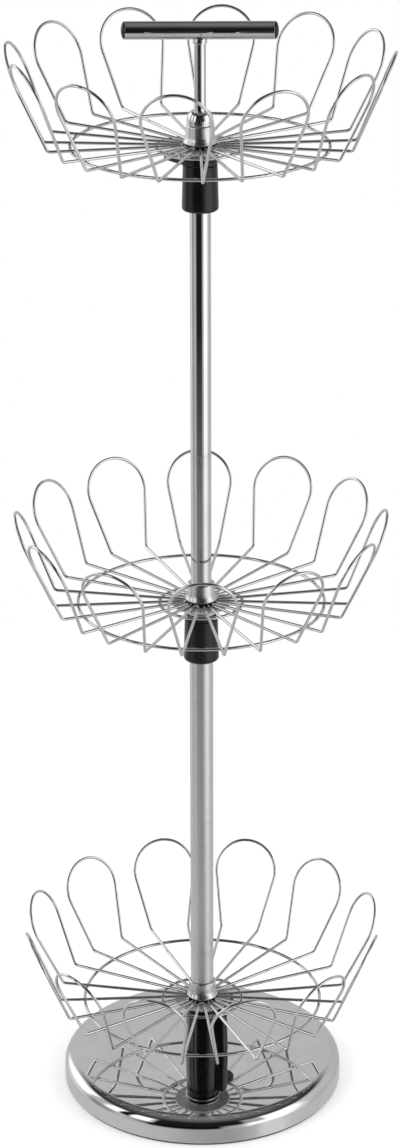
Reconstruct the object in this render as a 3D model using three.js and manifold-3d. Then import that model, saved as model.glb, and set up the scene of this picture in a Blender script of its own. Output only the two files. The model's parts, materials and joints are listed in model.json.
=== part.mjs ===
// Rotating shoe tower: three wire baskets that each turn on a two-part post, over a round
// weighted base, with a T handle on top. Each basket is a ring of wire loops that shoes hook over.
// Millimetres, +Z up. The origin is on the floor, under the post's axis.

import * as THREE from 'three';
import { mergeVertices } from 'three/addons/utils/BufferGeometryUtils.js';
import Module from 'manifold-3d';

const wasm = await Module();
wasm.setup();

// Clearances and modelling values
const gap = 0.3; // between pieces that touch or run on each other
const overrun = 3; // how far a cutter passes beyond what it cuts
const weldDistance = 0.0001; // corners closer than this are one corner

// Base: a spun steel cover over a cast ballast disc, with a pad glued under its turned-in lip
const baseRadius = 134.8;
const baseHeight = 28;
const baseWall = 1.5;
const baseEdgeFillet = 11;
const baseLipWidth = 12;
const padThickness = 2;
const padInset = 2;
const ballastClearance = 16.8; // between the ballast's edge and the cover's outside
const ballastThickness = 8;
const boltRadius = 4;
const boltHeadRadius = 7.5;
const boltHeadHeight = 6;
const boltFlangeRadius = 10;
const boltFlangeThickness = 1.8;
const boltTipInset = 2;
const plugLength = 22;

// Post: the upper tube slides in the lower one, and the handle's rod stands in the upper tube
const lowerTubeRadius = 11;
const tubeWall = 1.2;
const tubeOverlap = 62; // the upper tube's length below the middle hub
const rodRadius = 5.3;
const rodAdapterLength = 45;
const handleRise = 101.9; // from the top hub to the handle bar's centre line

// Baskets: heights between hubs, and the sizes that all three share
const lowerTierPitch = 418;
const upperTierPitch = 434;
const wireRadius = 1.4;
const ringWireRadius = 1.5;
const elbowRadius = 136.2; // from the post's axis to the elbows' plane, where the loops turn up
const elbowSpacing = 37.8; // between a loop's two elbows
const elbowBend = 4;
const hubDrop = 3; // how much lower the hub is than the elbows
const petalCount = 12;
const petalLean = THREE.MathUtils.degToRad(22.8); // outward from upright
const petalLegRise = 59.8; // from the elbows to the centre of the top arc, along the loop
const petalArcRadius = 30.3;
const outerRingRadius = 114.5;
const innerRingRadius = 38.7;

// Hub of each basket, from the wires downwards
const plateRadius = 27;
const plateThickness = 2;
const washerRadius = 16.6;
const washerThickness = 1.4;
const bushFlangeRadius = 15.2;
const bushFlangeThickness = 2.6;
const bushWall = 2.5;
const collarRadius = 15.5; // of the lock ring and of the sleeve's top
const lockRingHeight = 7;
const lobeThickness = 4.5;
const lobeReach = 28; // from the post's axis to the centre of the thumb lobe's round end
const lobeEndRadius = 11.5;
const sleeveLength = 41.5;
const sleeveFlare = 1; // how much wider the sleeve is at its foot
const sleeveFootRound = 2.5;
const lugReach = 18.7; // from the post's axis to the centre of the clamp lug on the sleeve's side
const lugRadius = 6.3;

// Bell over each hub
const bellHeight = 16.5;
const bellLipRadius = 15;
const bellLipHeight = 1.4;
const bellFlareHeight = 7;
const bellWaistRadius = 13.1; // where the flare runs into the body
const bellEdge = 0.8;

// Cap nut over the top bell, and the T handle
const capNutRadius = 11.9;
const capNutTopRadius = 7.4;
const capNutRim = 2;
const capNutHeight = 12;
const barRadius = 8;
const barLength = 137.6;
const endCapPlug = 8;
const endCapDome = 3.4;
const ferruleRadius = 6.5;
const ferruleNeckRadius = 6.2;
const ferruleHeight = 3.2;
const ferruleRim = 1;
const rodTopRise = 3; // how far the rod's end stands above the bar's centre line

// The three baskets, from the bottom up. The angles are how each one stands turned in the photograph.
const tiers = {
  bottom: { phase: 13.9, lobeHeading: 46, lugHeading: -18, bellRadius: 12.6 },
  middle: { phase: 0.6, lobeHeading: 90, lugHeading: 90, bellRadius: 12.6 },
  top: { phase: -7, lobeHeading: 138, lugHeading: 90, bellRadius: 12.2 },
};

// Sides of round pieces, and steps along the wires
const wireSides = 6;
const hexagonSides = 6;
const smallSides = 18;
const baseSides = 44;
const outerRingSteps = 30;
const innerRingSteps = 20;
const elbowSteps = 2;
const arcSteps = 8;
const turnSteps = 3;
const filletSteps = 3;
const domeSteps = 3;

// Sizes worked out from the ones above
const ballastRadius = baseRadius - ballastClearance;
const upperTubeRadius = lowerTubeRadius - tubeWall - gap;
const bushBarrelRadius = lowerTubeRadius + gap + bushWall;
const spokeReach = bushBarrelRadius + gap + wireRadius;
const petalStep = (2 * Math.PI) / petalCount;
const spokeAngle = Math.atan2(elbowSpacing / 2, elbowRadius);
const seamAngle = petalStep / 2 - spokeAngle;
const turnCentre = spokeReach / (1 - Math.sin(seamAngle));
const turnDistance = turnCentre * Math.cos(seamAngle); // where a spoke runs into the turn at the hub
const elbowDistance = Math.hypot(elbowRadius, elbowSpacing / 2);
const plateTop = -wireRadius - gap;
const upperWasherTop = plateTop - plateThickness - gap;
const bushTop = upperWasherTop - washerThickness - gap;
const lowerWasherTop = bushTop - bushFlangeThickness - gap;
const lockRingTop = lowerWasherTop - washerThickness - gap;
const sleeveTop = lockRingTop - lockRingHeight - gap;
const bellFoot = wireRadius + gap;

tiers.bottom.height = baseHeight + gap + sleeveLength - sleeveTop;
tiers.middle.height = tiers.bottom.height + lowerTierPitch;
tiers.top.height = tiers.middle.height + upperTierPitch;
tiers.bottom.tubeRadius = lowerTubeRadius;
tiers.middle.tubeRadius = lowerTubeRadius;
tiers.top.tubeRadius = upperTubeRadius;

const lowerTubeFoot = baseHeight + gap;
const lowerTubeTop = tiers.middle.height + bellFoot + bellHeight - tubeWall - gap - bellEdge;
const upperTubeTop = tiers.top.height + bellFoot + bellHeight;
const barHeight = tiers.top.height + handleRise;

const chrome = () => new THREE.MeshStandardMaterial({ color: 0xd6d8da, roughness: 0.08, metalness: 1 });
const satinSteel = () => new THREE.MeshStandardMaterial({ color: 0xbfbcb8, roughness: 0.32, metalness: 1 });
const blackPlastic = () => new THREE.MeshStandardMaterial({ color: 0x0c0c0d, roughness: 0.3, metalness: 0 });
const zincSteel = () => new THREE.MeshStandardMaterial({ color: 0x9e9e98, roughness: 0.4, metalness: 1 });
const castIron = () => new THREE.MeshStandardMaterial({ color: 0x4a4b4d, roughness: 0.7, metalness: 1 });
const foam = () => new THREE.MeshStandardMaterial({ color: 0x2b2b2c, roughness: 0.9, metalness: 0 });

// Geometry helpers

function signedVolume(geometry) {
  const place = geometry.getAttribute('position');
  const corner = [new THREE.Vector3(), new THREE.Vector3(), new THREE.Vector3()];
  let sum = 0;
  for (let i = 0; i < geometry.index.count; i += 3) {
    corner.forEach((v, k) => v.fromBufferAttribute(place, geometry.index.getX(i + k)));
    sum += corner[0].dot(corner[1].cross(corner[2]));
  }
  return sum / 6;
}

// A closed body with shared corners, no flattened triangles, and its faces pointing out.
function closedBody(geometry) {
  geometry.deleteAttribute('normal');
  geometry.deleteAttribute('uv');
  const body = mergeVertices(geometry, weldDistance);
  const corners = body.index.array;
  const kept = [];
  for (let i = 0; i < corners.length; i += 3) {
    const [a, b, c] = corners.slice(i, i + 3);
    if (a !== b && b !== c && c !== a) {
      kept.push(a, b, c);
    }
  }
  body.setIndex(kept);
  if (signedVolume(body) < 0) {
    body.setIndex(kept.reverse());
  }
  body.computeVertexNormals();
  return body;
}

function toManifold(geometry) {
  const body = closedBody(geometry);
  return new wasm.Manifold(
    new wasm.Mesh({
      numProp: 3,
      vertProperties: new Float32Array(body.getAttribute('position').array),
      triVerts: new Uint32Array(body.index.array),
    }),
  );
}

function fromManifold(manifold) {
  const { vertProperties, triVerts } = manifold.getMesh();
  const geometry = new THREE.BufferGeometry();
  geometry.setAttribute('position', new THREE.BufferAttribute(new Float32Array(vertProperties), 3));
  geometry.setIndex(Array.from(triVerts));
  geometry.computeVertexNormals();
  return geometry;
}

// Turns a closed outline of [radius, height] points about the Z axis.
function turned(outline, sides = smallSides) {
  const points = [...outline, outline[0]].map(([radius, height]) => new THREE.Vector2(radius, height));
  return closedBody(new THREE.LatheGeometry(points, sides).rotateX(Math.PI / 2));
}

// A flat ring or tube between two heights.
function annulus(outer, inner, low, high, sides = smallSides) {
  return turned([[inner, low], [outer, low], [outer, high], [inner, high]], sides);
}

// Points on an arc in an outline, from one angle to another, both ends included.
function arcPoints(centreRadius, centreHeight, radius, fromAngle, toAngle, steps, rise = radius) {
  return Array.from({ length: steps + 1 }, (_, i) => {
    const angle = fromAngle + ((toAngle - fromAngle) * i) / steps;
    return [centreRadius + radius * Math.cos(angle), centreHeight + rise * Math.sin(angle)];
  });
}

// A line through chosen stations, which puts one section of the wire at each station.
class StationPath extends THREE.Curve {
  constructor(stations) {
    super();
    this.stations = stations;
  }

  indexAt(share) {
    return Math.round(share * (this.stations.length - 1));
  }

  getPointAt(share) {
    return this.stations[this.indexAt(share)].clone();
  }

  getTangentAt(share) {
    const index = this.indexAt(share);
    const here = this.stations[index];
    const before = this.stations[Math.max(index - 1, 0)];
    const after = this.stations[Math.min(index + 1, this.stations.length - 1)];
    const arriving = here.clone().sub(before).normalize();
    const leaving = after.clone().sub(here).normalize();
    return arriving.add(leaving).normalize();
  }
}

function wireAlong(stations, radius) {
  const corners = Array.from({ length: wireSides }, (_, i) => {
    const angle = (2 * Math.PI * i) / wireSides;
    return new THREE.Vector2(radius * Math.cos(angle), radius * Math.sin(angle));
  });
  const settings = { steps: stations.length - 1, extrudePath: new StationPath(stations) };
  return closedBody(new THREE.ExtrudeGeometry(new THREE.Shape(corners), settings));
}

// Stations round the bend at a corner, between the straight runs that meet there.
function bendStations(from, corner, to, radius, steps) {
  const arriving = corner.clone().sub(from).normalize();
  const leaving = to.clone().sub(corner).normalize();
  const turn = arriving.angleTo(leaving);
  const axis = arriving.clone().cross(leaving).normalize();
  const start = corner.clone().addScaledVector(arriving, -radius * Math.tan(turn / 2));
  const centre = start.clone().addScaledVector(axis.clone().cross(arriving), radius);
  return Array.from({ length: steps + 1 }, (_, i) =>
    start.clone().sub(centre).applyAxisAngle(axis, (turn * i) / steps).add(centre),
  );
}

// Wire loops of a basket, in the hub's frame: height zero is the wires' centre line at the hub

function polar(radius, angle, height) {
  return new THREE.Vector3(radius * Math.cos(angle), radius * Math.sin(angle), height);
}

// The height of a spoke's centre line at a distance from the post's axis.
function spokeHeight(distance) {
  return (hubDrop * (distance - turnDistance)) / (elbowDistance - turnDistance);
}

// A point in a loop's leaning plane, for a loop that stands on the X axis.
function petalPoint(across, rise) {
  return new THREE.Vector3(
    elbowRadius + rise * Math.sin(petalLean),
    across,
    hubDrop + rise * Math.cos(petalLean),
  );
}

// One loop from elbow to elbow: up a leg, over the round top and down the other leg.
function petalStations(heading) {
  const legSpan = Math.hypot(elbowSpacing / 2, petalLegRise);
  const legAngle = Math.atan2(-petalLegRise, elbowSpacing / 2);
  const arcStart = legAngle + Math.acos(petalArcRadius / legSpan);
  const arc = arcPoints(0, petalLegRise, petalArcRadius, Math.PI - arcStart, arcStart, arcSteps);
  const top = arc.map(([across, rise]) => petalPoint(across, rise));
  const rightElbow = petalPoint(-elbowSpacing / 2, 0);
  const leftElbow = petalPoint(elbowSpacing / 2, 0);
  const stations = [
    ...bendStations(polar(turnDistance, -spokeAngle, 0), rightElbow, top[0], elbowBend, elbowSteps),
    ...top,
    ...bendStations(top[arcSteps], leftElbow, polar(turnDistance, spokeAngle, 0), elbowBend, elbowSteps),
  ];
  return stations.map((point) => point.applyAxisAngle(new THREE.Vector3(0, 0, 1), heading));
}

// The tight turn at the hub that joins two neighbouring loops.
function turnStations(seamHeading) {
  const radius = turnCentre * Math.sin(seamAngle);
  const start = -(Math.PI / 2 + seamAngle);
  const sweep = Math.PI - 2 * seamAngle;
  return Array.from({ length: turnSteps + 1 }, (_, i) => {
    const angle = start - (sweep * i) / turnSteps;
    const local = new THREE.Vector3(turnCentre + radius * Math.cos(angle), radius * Math.sin(angle), 0);
    return local.applyAxisAngle(new THREE.Vector3(0, 0, 1), seamHeading);
  });
}

// Two neighbouring loops bent from one wire.
function petalPair(heading) {
  const next = heading + petalStep;
  const stations = [
    polar(spokeReach, heading - spokeAngle, 0),
    polar(turnDistance, heading - spokeAngle, 0),
    ...petalStations(heading),
    ...turnStations(heading + petalStep / 2),
    ...petalStations(next),
    polar(turnDistance, next + spokeAngle, 0),
    polar(spokeReach, next + spokeAngle, 0),
  ];
  return wireAlong(stations, wireRadius);
}

// A closed wire ring that lies under the spokes.
function supportRing(radius, steps) {
  const height = spokeHeight(radius) - wireRadius - gap - ringWireRadius;
  const ring = new THREE.TorusGeometry(radius, ringWireRadius, wireSides, steps);
  return closedBody(ring.translate(0, 0, height));
}

// Hub pieces, in the hub's frame

function hubPlate() {
  return annulus(plateRadius, bushBarrelRadius + gap, plateTop - plateThickness, plateTop);
}

// The bush turns on the tube. Its barrel stands in the plate and its flange lies below.
function hubBush(tubeRadius) {
  const bore = tubeRadius + gap;
  const barrelTop = bellFoot - gap;
  return turned([
    [bore, bushTop - bushFlangeThickness],
    [bushFlangeRadius, bushTop - bushFlangeThickness],
    [bushFlangeRadius, bushTop],
    [bushBarrelRadius, bushTop],
    [bushBarrelRadius, barrelTop],
    [bore, barrelTop],
  ]);
}

// The upper washer slips over the bush's barrel and lies on its flange.
function upperWasher() {
  const bore = bushBarrelRadius + gap;
  return annulus(washerRadius, bore, upperWasherTop - washerThickness, upperWasherTop);
}

function lowerWasher(tubeRadius) {
  return annulus(washerRadius, tubeRadius + gap, lowerWasherTop - washerThickness, lowerWasherTop);
}

// The bell covers the wires' inner ends. Where the lower tube ends inside it, its bore steps in.
function hubBell(bodyRadius, lowerBore, upperBore, stepHeight) {
  const top = bellFoot + bellHeight;
  const outside = [
    [bellLipRadius, bellFoot],
    [bellLipRadius, bellFoot + bellLipHeight],
    [(bellLipRadius + bellWaistRadius) / 2, bellFoot + (2 * bellLipHeight + bellFlareHeight) / 3],
    [bellWaistRadius, bellFoot + bellFlareHeight],
    [bodyRadius, top - bellEdge],
    [bodyRadius - bellEdge, top],
  ];
  const inside = lowerBore === upperBore
    ? [[upperBore, top], [upperBore, bellFoot]]
    : [[upperBore, top], [upperBore, stepHeight], [lowerBore, stepHeight], [lowerBore, bellFoot]];
  return turned([...outside, ...inside]);
}

// The ring that is turned by its thumb lobe to clamp or free the sleeve on the tube.
function lockRing(tubeRadius, heading) {
  const low = lockRingTop - lockRingHeight;
  const tangent = Math.acos((collarRadius - lobeEndRadius) / lobeReach);
  const half = smallSides / 2;
  const outline = [
    ...arcPoints(lobeReach, 0, lobeEndRadius, -tangent, tangent, half),
    ...arcPoints(0, 0, collarRadius, tangent, 2 * Math.PI - tangent, half),
  ].map(([x, y]) => new THREE.Vector2(x, y));
  const lobe = new THREE.ExtrudeGeometry(new THREE.Shape(outline), {
    depth: lobeThickness,
    bevelEnabled: false,
  });
  const bore = tubeRadius + gap;
  const collar = toManifold(annulus(collarRadius, bore, low, lockRingTop));
  const cutter = toManifold(turned([
    [0, low - overrun],
    [bore, low - overrun],
    [bore, low + lobeThickness + overrun],
    [0, low + lobeThickness + overrun],
  ]));
  const tongue = toManifold(lobe.translate(0, 0, low)).subtract(cutter);
  return fromManifold(collar.add(tongue)).rotateZ(heading);
}

// A solid post with a slightly flared and rounded foot, as tall as the sleeve.
function sleevePost(radius) {
  const foot = sleeveTop - sleeveLength;
  const roundRadius = radius + sleeveFlare - sleeveFootRound;
  const roundHeight = foot + sleeveFootRound;
  const round = arcPoints(roundRadius, roundHeight, sleeveFootRound, -Math.PI / 2, 0, filletSteps);
  return turned([[0, foot], ...round, [radius, sleeveTop], [0, sleeveTop]]);
}

// The sleeve round the tube, with the lug on its side that holds the clamp.
function sleeve(tubeRadius, lugHeading) {
  const lug = sleevePost(lugRadius).translate(lugReach, 0, 0).rotateZ(lugHeading);
  const low = sleeveTop - sleeveLength - overrun;
  const bore = tubeRadius + gap;
  const drill = turned([[0, low], [bore, low], [bore, sleeveTop + overrun], [0, sleeveTop + overrun]]);
  return fromManifold(toManifold(sleevePost(collarRadius)).add(toManifold(lug)).subtract(toManifold(drill)));
}

// Base pieces

function baseShell() {
  const foot = padThickness + gap;
  const outer = arcPoints(
    baseRadius - baseEdgeFillet,
    baseHeight - baseEdgeFillet,
    baseEdgeFillet,
    0,
    Math.PI / 2,
    filletSteps,
  );
  const inner = arcPoints(
    baseRadius - baseEdgeFillet,
    baseHeight - baseEdgeFillet,
    baseEdgeFillet - baseWall,
    Math.PI / 2,
    0,
    filletSteps,
  );
  const lipRadius = baseRadius - baseLipWidth;
  const hole = boltRadius + gap;
  return turned([
    [lipRadius, foot],
    [baseRadius, foot],
    ...outer,
    [hole, baseHeight],
    [hole, baseHeight - baseWall],
    ...inner,
    [baseRadius - baseWall, foot + baseWall],
    [lipRadius, foot + baseWall],
  ], baseSides);
}

function baseBallast() {
  const top = baseHeight - baseWall - gap;
  return annulus(ballastRadius, boltRadius + gap, top - ballastThickness, top, baseSides);
}

function basePad() {
  const radius = baseRadius - padInset;
  return turned([[0, 0], [radius, 0], [radius, padThickness], [0, padThickness]], baseSides);
}

// A flanged hexagon bolt that comes up through the ballast and the cover into the tube's plug.
function baseBolt() {
  const seat = baseHeight - baseWall - gap - ballastThickness - gap;
  const tip = lowerTubeFoot + plugLength - boltTipInset;
  const shank = toManifold(turned([
    [0, seat - boltFlangeThickness],
    [boltFlangeRadius, seat - boltFlangeThickness],
    [boltFlangeRadius, seat],
    [boltRadius, seat],
    [boltRadius, tip],
    [0, tip],
  ]));
  const headHeight = boltHeadHeight + boltFlangeThickness / 2;
  const head = new THREE.CylinderGeometry(boltHeadRadius, boltHeadRadius, headHeight, hexagonSides);
  head.rotateX(Math.PI / 2).translate(0, 0, seat - boltFlangeThickness / 2 - headHeight / 2);
  return fromManifold(shank.add(toManifold(head)));
}

function tubePlug() {
  const radius = lowerTubeRadius - tubeWall - gap;
  return annulus(radius, boltRadius + gap, lowerTubeFoot, lowerTubeFoot + plugLength);
}

// Handle pieces

// A plug that holds the handle's rod in the end of the upper tube.
function rodAdapter() {
  const radius = upperTubeRadius - tubeWall - gap;
  return annulus(radius, rodRadius + gap, upperTubeTop - rodAdapterLength, upperTubeTop);
}

function capNut() {
  const foot = upperTubeTop + gap;
  const dome = arcPoints(
    capNutTopRadius,
    foot + capNutRim,
    capNutRadius - capNutTopRadius,
    0,
    Math.PI / 2,
    domeSteps,
    capNutHeight - capNutRim,
  );
  const bore = rodRadius + gap;
  return turned([[bore, foot], [capNutRadius, foot], ...dome, [bore, foot + capNutHeight]]);
}

function handleRod() {
  const foot = upperTubeTop - rodAdapterLength;
  const top = barHeight + rodTopRise;
  return turned([[0, foot], [rodRadius, foot], [rodRadius, top], [0, top]]);
}

// A cylinder along the handle bar's axis, for the pieces that the bar passes or crosses.
function barCylinder(radius, length) {
  const cylinder = new THREE.CylinderGeometry(radius, radius, length, smallSides);
  return toManifold(cylinder.rotateZ(Math.PI / 2).translate(0, 0, barHeight));
}

function handleBar() {
  const length = barLength - 2 * (endCapDome + gap);
  const outer = barCylinder(barRadius, length);
  const inner = barCylinder(barRadius - tubeWall, length + 2 * overrun);
  const low = barHeight - barRadius - overrun;
  const bore = rodRadius + gap;
  const drill = turned([[0, low], [bore, low], [bore, barHeight], [0, barHeight]]);
  return fromManifold(outer.subtract(inner).subtract(toManifold(drill)));
}

// The ferrule hides the joint of the rod and the bar. Its top is shaped to the bar's underside.
function handleFerrule() {
  const foot = barHeight - barRadius - ferruleHeight;
  const bore = rodRadius + gap;
  const dome = arcPoints(
    ferruleNeckRadius,
    foot + ferruleRim,
    ferruleRadius - ferruleNeckRadius,
    0,
    Math.PI / 2,
    domeSteps,
    ferruleHeight - ferruleRim,
  );
  const blank = turned([
    [bore, foot],
    [ferruleRadius, foot],
    ...dome,
    [ferruleNeckRadius, barHeight],
    [bore, barHeight],
  ]);
  const bar = barCylinder(barRadius + gap, barLength);
  return fromManifold(toManifold(blank).subtract(bar));
}

// A domed plastic cap with a plug that stands inside the bar's end. Side is 1 at +X and -1 at -X.
function handleEndCap(side) {
  const barEnd = barLength / 2 - endCapDome - gap;
  const headFoot = barEnd + gap;
  const plugRadius = barRadius - tubeWall - gap;
  const dome = arcPoints(0, headFoot, barRadius, 0, Math.PI / 2, domeSteps, endCapDome);
  const plugEnd = barEnd - endCapPlug;
  const cap = turned([[0, plugEnd], [plugRadius, plugEnd], [plugRadius, headFoot], ...dome]);
  return cap.rotateY((side * Math.PI) / 2).translate(0, 0, barHeight);
}

// Assembly

const tower = new THREE.Group();

function addPiece(parent, name, geometry, material) {
  const mesh = new THREE.Mesh(geometry, material);
  mesh.name = name;
  parent.add(mesh);
}

function addBasket(name, tier) {
  const basket = new THREE.Group();
  basket.position.z = tier.height;
  basket.rotation.z = THREE.MathUtils.degToRad(tier.phase);
  for (let pair = 0; pair < petalCount / 2; pair += 1) {
    addPiece(basket, `${name}_petal_pair_${pair + 1}`, petalPair(2 * pair * petalStep), chrome());
  }
  addPiece(basket, `${name}_outer_ring`, supportRing(outerRingRadius, outerRingSteps), chrome());
  addPiece(basket, `${name}_inner_ring`, supportRing(innerRingRadius, innerRingSteps), chrome());
  addPiece(basket, `${name}_hub_plate`, hubPlate(), zincSteel());
  addPiece(basket, `${name}_hub_bush`, hubBush(tier.tubeRadius), blackPlastic());
  addPiece(basket, `${name}_upper_washer`, upperWasher(), chrome());
  const stepHeight = lowerTubeTop + gap - tier.height;
  const upperBore = name === 'bottom' ? lowerTubeRadius + gap : upperTubeRadius + gap;
  addPiece(
    basket,
    `${name}_hub_bell`,
    hubBell(tier.bellRadius, tier.tubeRadius + gap, upperBore, stepHeight),
    satinSteel(),
  );
  tower.add(basket);
}

function addCollar(name, tier) {
  const collar = new THREE.Group();
  collar.position.z = tier.height;
  const lobeHeading = THREE.MathUtils.degToRad(tier.lobeHeading);
  const lugHeading = THREE.MathUtils.degToRad(tier.lugHeading);
  addPiece(collar, `${name}_lower_washer`, lowerWasher(tier.tubeRadius), chrome());
  addPiece(collar, `${name}_lock_ring`, lockRing(tier.tubeRadius, lobeHeading), blackPlastic());
  addPiece(collar, `${name}_sleeve`, sleeve(tier.tubeRadius, lugHeading), blackPlastic());
  tower.add(collar);
}

addPiece(tower, 'base_shell', baseShell(), chrome());
addPiece(tower, 'base_ballast', baseBallast(), castIron());
addPiece(tower, 'base_pad', basePad(), foam());
addPiece(tower, 'base_bolt', baseBolt(), zincSteel());
addPiece(tower, 'tube_plug', tubePlug(), zincSteel());
addPiece(
  tower,
  'lower_tube',
  annulus(lowerTubeRadius, lowerTubeRadius - tubeWall, lowerTubeFoot, lowerTubeTop),
  satinSteel(),
);
addPiece(
  tower,
  'upper_tube',
  annulus(upperTubeRadius, upperTubeRadius - tubeWall, tiers.middle.height - tubeOverlap, upperTubeTop),
  chrome(),
);
addPiece(tower, 'rod_adapter', rodAdapter(), blackPlastic());
addPiece(tower, 'cap_nut', capNut(), chrome());
addPiece(tower, 'handle_rod', handleRod(), chrome());
addPiece(tower, 'handle_ferrule', handleFerrule(), chrome());
addPiece(tower, 'handle_bar', handleBar(), chrome());
addPiece(tower, 'handle_end_cap_right', handleEndCap(1), blackPlastic());
addPiece(tower, 'handle_end_cap_left', handleEndCap(-1), blackPlastic());
for (const [name, tier] of Object.entries(tiers)) {
  addCollar(name, tier);
  addBasket(name, tier);
}

export default tower;
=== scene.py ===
# %% [markdown]
# # A rotating shoe tower in chrome wire
#
# The real object is a slim post on a round weighted base. Three wire baskets turn on it, and shoes
# hook over the loops of wire. Nearly all of it is polished metal, so the picture depends on two
# things: clean round shapes, and something worth reflecting.
#
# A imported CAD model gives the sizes, the places and the moving bodies. It has few facets, so this
# script makes a finer piece for each CAD solid that shows, and lets it ride on the same body.
# Everything is in metres, with +Z up and the origin on the floor under the post.

import json
import math

import bmesh
import bpy
from mathutils import Matrix, Vector


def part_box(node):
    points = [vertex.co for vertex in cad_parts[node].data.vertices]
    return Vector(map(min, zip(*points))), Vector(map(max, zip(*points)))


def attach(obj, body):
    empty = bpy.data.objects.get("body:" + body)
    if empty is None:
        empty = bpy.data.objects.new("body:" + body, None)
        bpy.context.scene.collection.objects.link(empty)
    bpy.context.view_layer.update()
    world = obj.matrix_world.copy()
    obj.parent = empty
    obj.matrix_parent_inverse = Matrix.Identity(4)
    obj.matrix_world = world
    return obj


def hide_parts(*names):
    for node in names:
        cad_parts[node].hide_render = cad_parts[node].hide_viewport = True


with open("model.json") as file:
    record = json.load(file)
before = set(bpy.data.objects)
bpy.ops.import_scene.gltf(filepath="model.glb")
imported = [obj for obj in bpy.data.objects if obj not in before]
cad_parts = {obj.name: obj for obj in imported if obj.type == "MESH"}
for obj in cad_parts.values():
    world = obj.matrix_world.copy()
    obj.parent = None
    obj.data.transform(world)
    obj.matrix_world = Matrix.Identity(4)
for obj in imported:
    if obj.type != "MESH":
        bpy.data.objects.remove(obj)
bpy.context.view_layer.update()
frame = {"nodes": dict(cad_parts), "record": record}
record = frame["record"]
nodes = frame["nodes"]

# %% [markdown]
# ## Who moves with what
#
# Each finer piece stands for one CAD solid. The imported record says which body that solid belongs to
# and which finish it has, so both are looked up there. Nothing has to be typed twice, and a piece
# can't end up on the wrong body.

# %% Look up bodies and finishes
body_of = {node: body for body, members in record["behaviour"]["bodies"].items() for node in members}
slot_of = {part["node"]: part["material_slot"] for part in record["subparts"]}
tiers = ("bottom", "middle", "top")
finishes = {}


def add_piece(name, mesh, node):
    """Shows a finished mesh in place of a CAD node, on the node's body and in its finish."""
    piece = bpy.data.objects.new(name, mesh)
    bpy.context.scene.collection.objects.link(piece)
    mesh.materials.clear()
    mesh.materials.append(finishes[slot_of[node]])
    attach(piece, body_of[node])
    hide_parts(node)


# %% [markdown]
# ## Texture helpers
#
# A finish needs small changes over its surface, or it looks like a computer drawing. Pictures could
# be wrapped round the pieces, but wire has no good flat layout. Noise that is worked out from the
# place of each point needs no layout at all, so every finish here is made of that.

# %% Noise by place
FINER_SHARE = 0.5  # how much each finer layer of noise counts, beside the one before it
NOISE_LOW, NOISE_HIGH = 0.3, 0.7  # soft noise hardly ever leaves this range


def place_vector(tree, stretch):
    """Each point's place in metres, stretched along X, Y and Z."""
    place = tree.nodes.new("ShaderNodeTexCoord")
    grow = tree.nodes.new("ShaderNodeVectorMath")
    grow.operation = "MULTIPLY"
    grow.inputs[1].default_value = stretch
    tree.links.new(place.outputs["Object"], grow.inputs[0])
    return grow.outputs["Vector"]


def noise(tree, vector, detail):
    """Soft noise, from 0 to 1, with one patch for each unit of the vector."""
    texture = tree.nodes.new("ShaderNodeTexNoise")
    texture.inputs["Scale"].default_value = 1.0
    texture.inputs["Detail"].default_value = detail
    texture.inputs["Roughness"].default_value = FINER_SHARE
    tree.links.new(vector, texture.inputs["Vector"])
    return texture.outputs["Fac"]


def spread(tree, value, low, high, start=NOISE_LOW, stop=NOISE_HIGH):
    """Maps a value between start and stop onto the range from low to high."""
    ranged = tree.nodes.new("ShaderNodeMapRange")
    ranged.inputs["From Min"].default_value = start
    ranged.inputs["From Max"].default_value = stop
    ranged.inputs["To Min"].default_value = low
    ranged.inputs["To Max"].default_value = high
    tree.links.new(value, ranged.inputs["Value"])
    return ranged.outputs["Result"]


# %% [markdown]
# ## Colour, shine and bump
#
# Each finish is one Principled shader. Three things may vary on it: the colour between two close
# shades, the roughness between two values, and a height that the bump node turns into tiny slopes.
# One noise leads both the colour and the roughness, because a dull spot is also a little darker or
# paler than the metal round it.

# %% Build a finish
def start_finish(slot, metallic):
    """A new material for one of the record's slots, its node tree and its shader."""
    material = bpy.data.materials.new(slot)
    material.use_nodes = True
    tree = material.node_tree
    shader = tree.nodes["Principled BSDF"]
    shader.inputs["Metallic"].default_value = metallic
    finishes[slot] = material
    return tree, shader


def two_shades(tree, shader, value, dark, light):
    """Colours the finish between two shades, for a value from 0 to 1."""
    mix = tree.nodes.new("ShaderNodeMix")
    mix.data_type = "RGBA"
    mix.inputs["A"].default_value = (*dark, 1)
    mix.inputs["B"].default_value = (*light, 1)
    tree.links.new(value, mix.inputs["Factor"])
    tree.links.new(mix.outputs["Result"], shader.inputs["Base Color"])


def vary(tree, shader, value, shades, roughness):
    """Lets one noise lead the colour between two shades and the roughness between two values."""
    two_shades(tree, shader, spread(tree, value, 0, 1), *shades)
    tree.links.new(spread(tree, value, *roughness), shader.inputs["Roughness"])


def bumped(tree, shader, value, depth):
    """Raises the surface by a value times a depth in metres, as light sees it."""
    bump = tree.nodes.new("ShaderNodeBump")
    bump.inputs["Distance"].default_value = depth
    bump.inputs["Strength"].default_value = 1.0
    tree.links.new(value, bump.inputs["Height"])
    tree.links.new(bump.outputs["Normal"], shader.inputs["Normal"])


def isotropic(size):
    """A stretch that gives noise patches of one size, in metres, each way."""
    return (1 / size, 1 / size, 1 / size)


# %% [markdown]
# ## Polished chrome
#
# Chrome plate is a nearly perfect mirror, a little blue and a little dark. What gives it away is
# handling: faint smudges where it is slightly duller, and a slow waviness from the polishing. Both
# are noise, one on the roughness and one on the bump.

# %% Polished chrome
SMUDGE_SIZE = 0.021
POLISH_WAVE_SIZE = 0.034
POLISH_WAVE_DEPTH = 0.00006
CHROME_SHADES = ((0.79, 0.80, 0.815), (0.86, 0.865, 0.87))
CHROME_ROUGHNESS = (0.012, 0.035)

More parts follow.
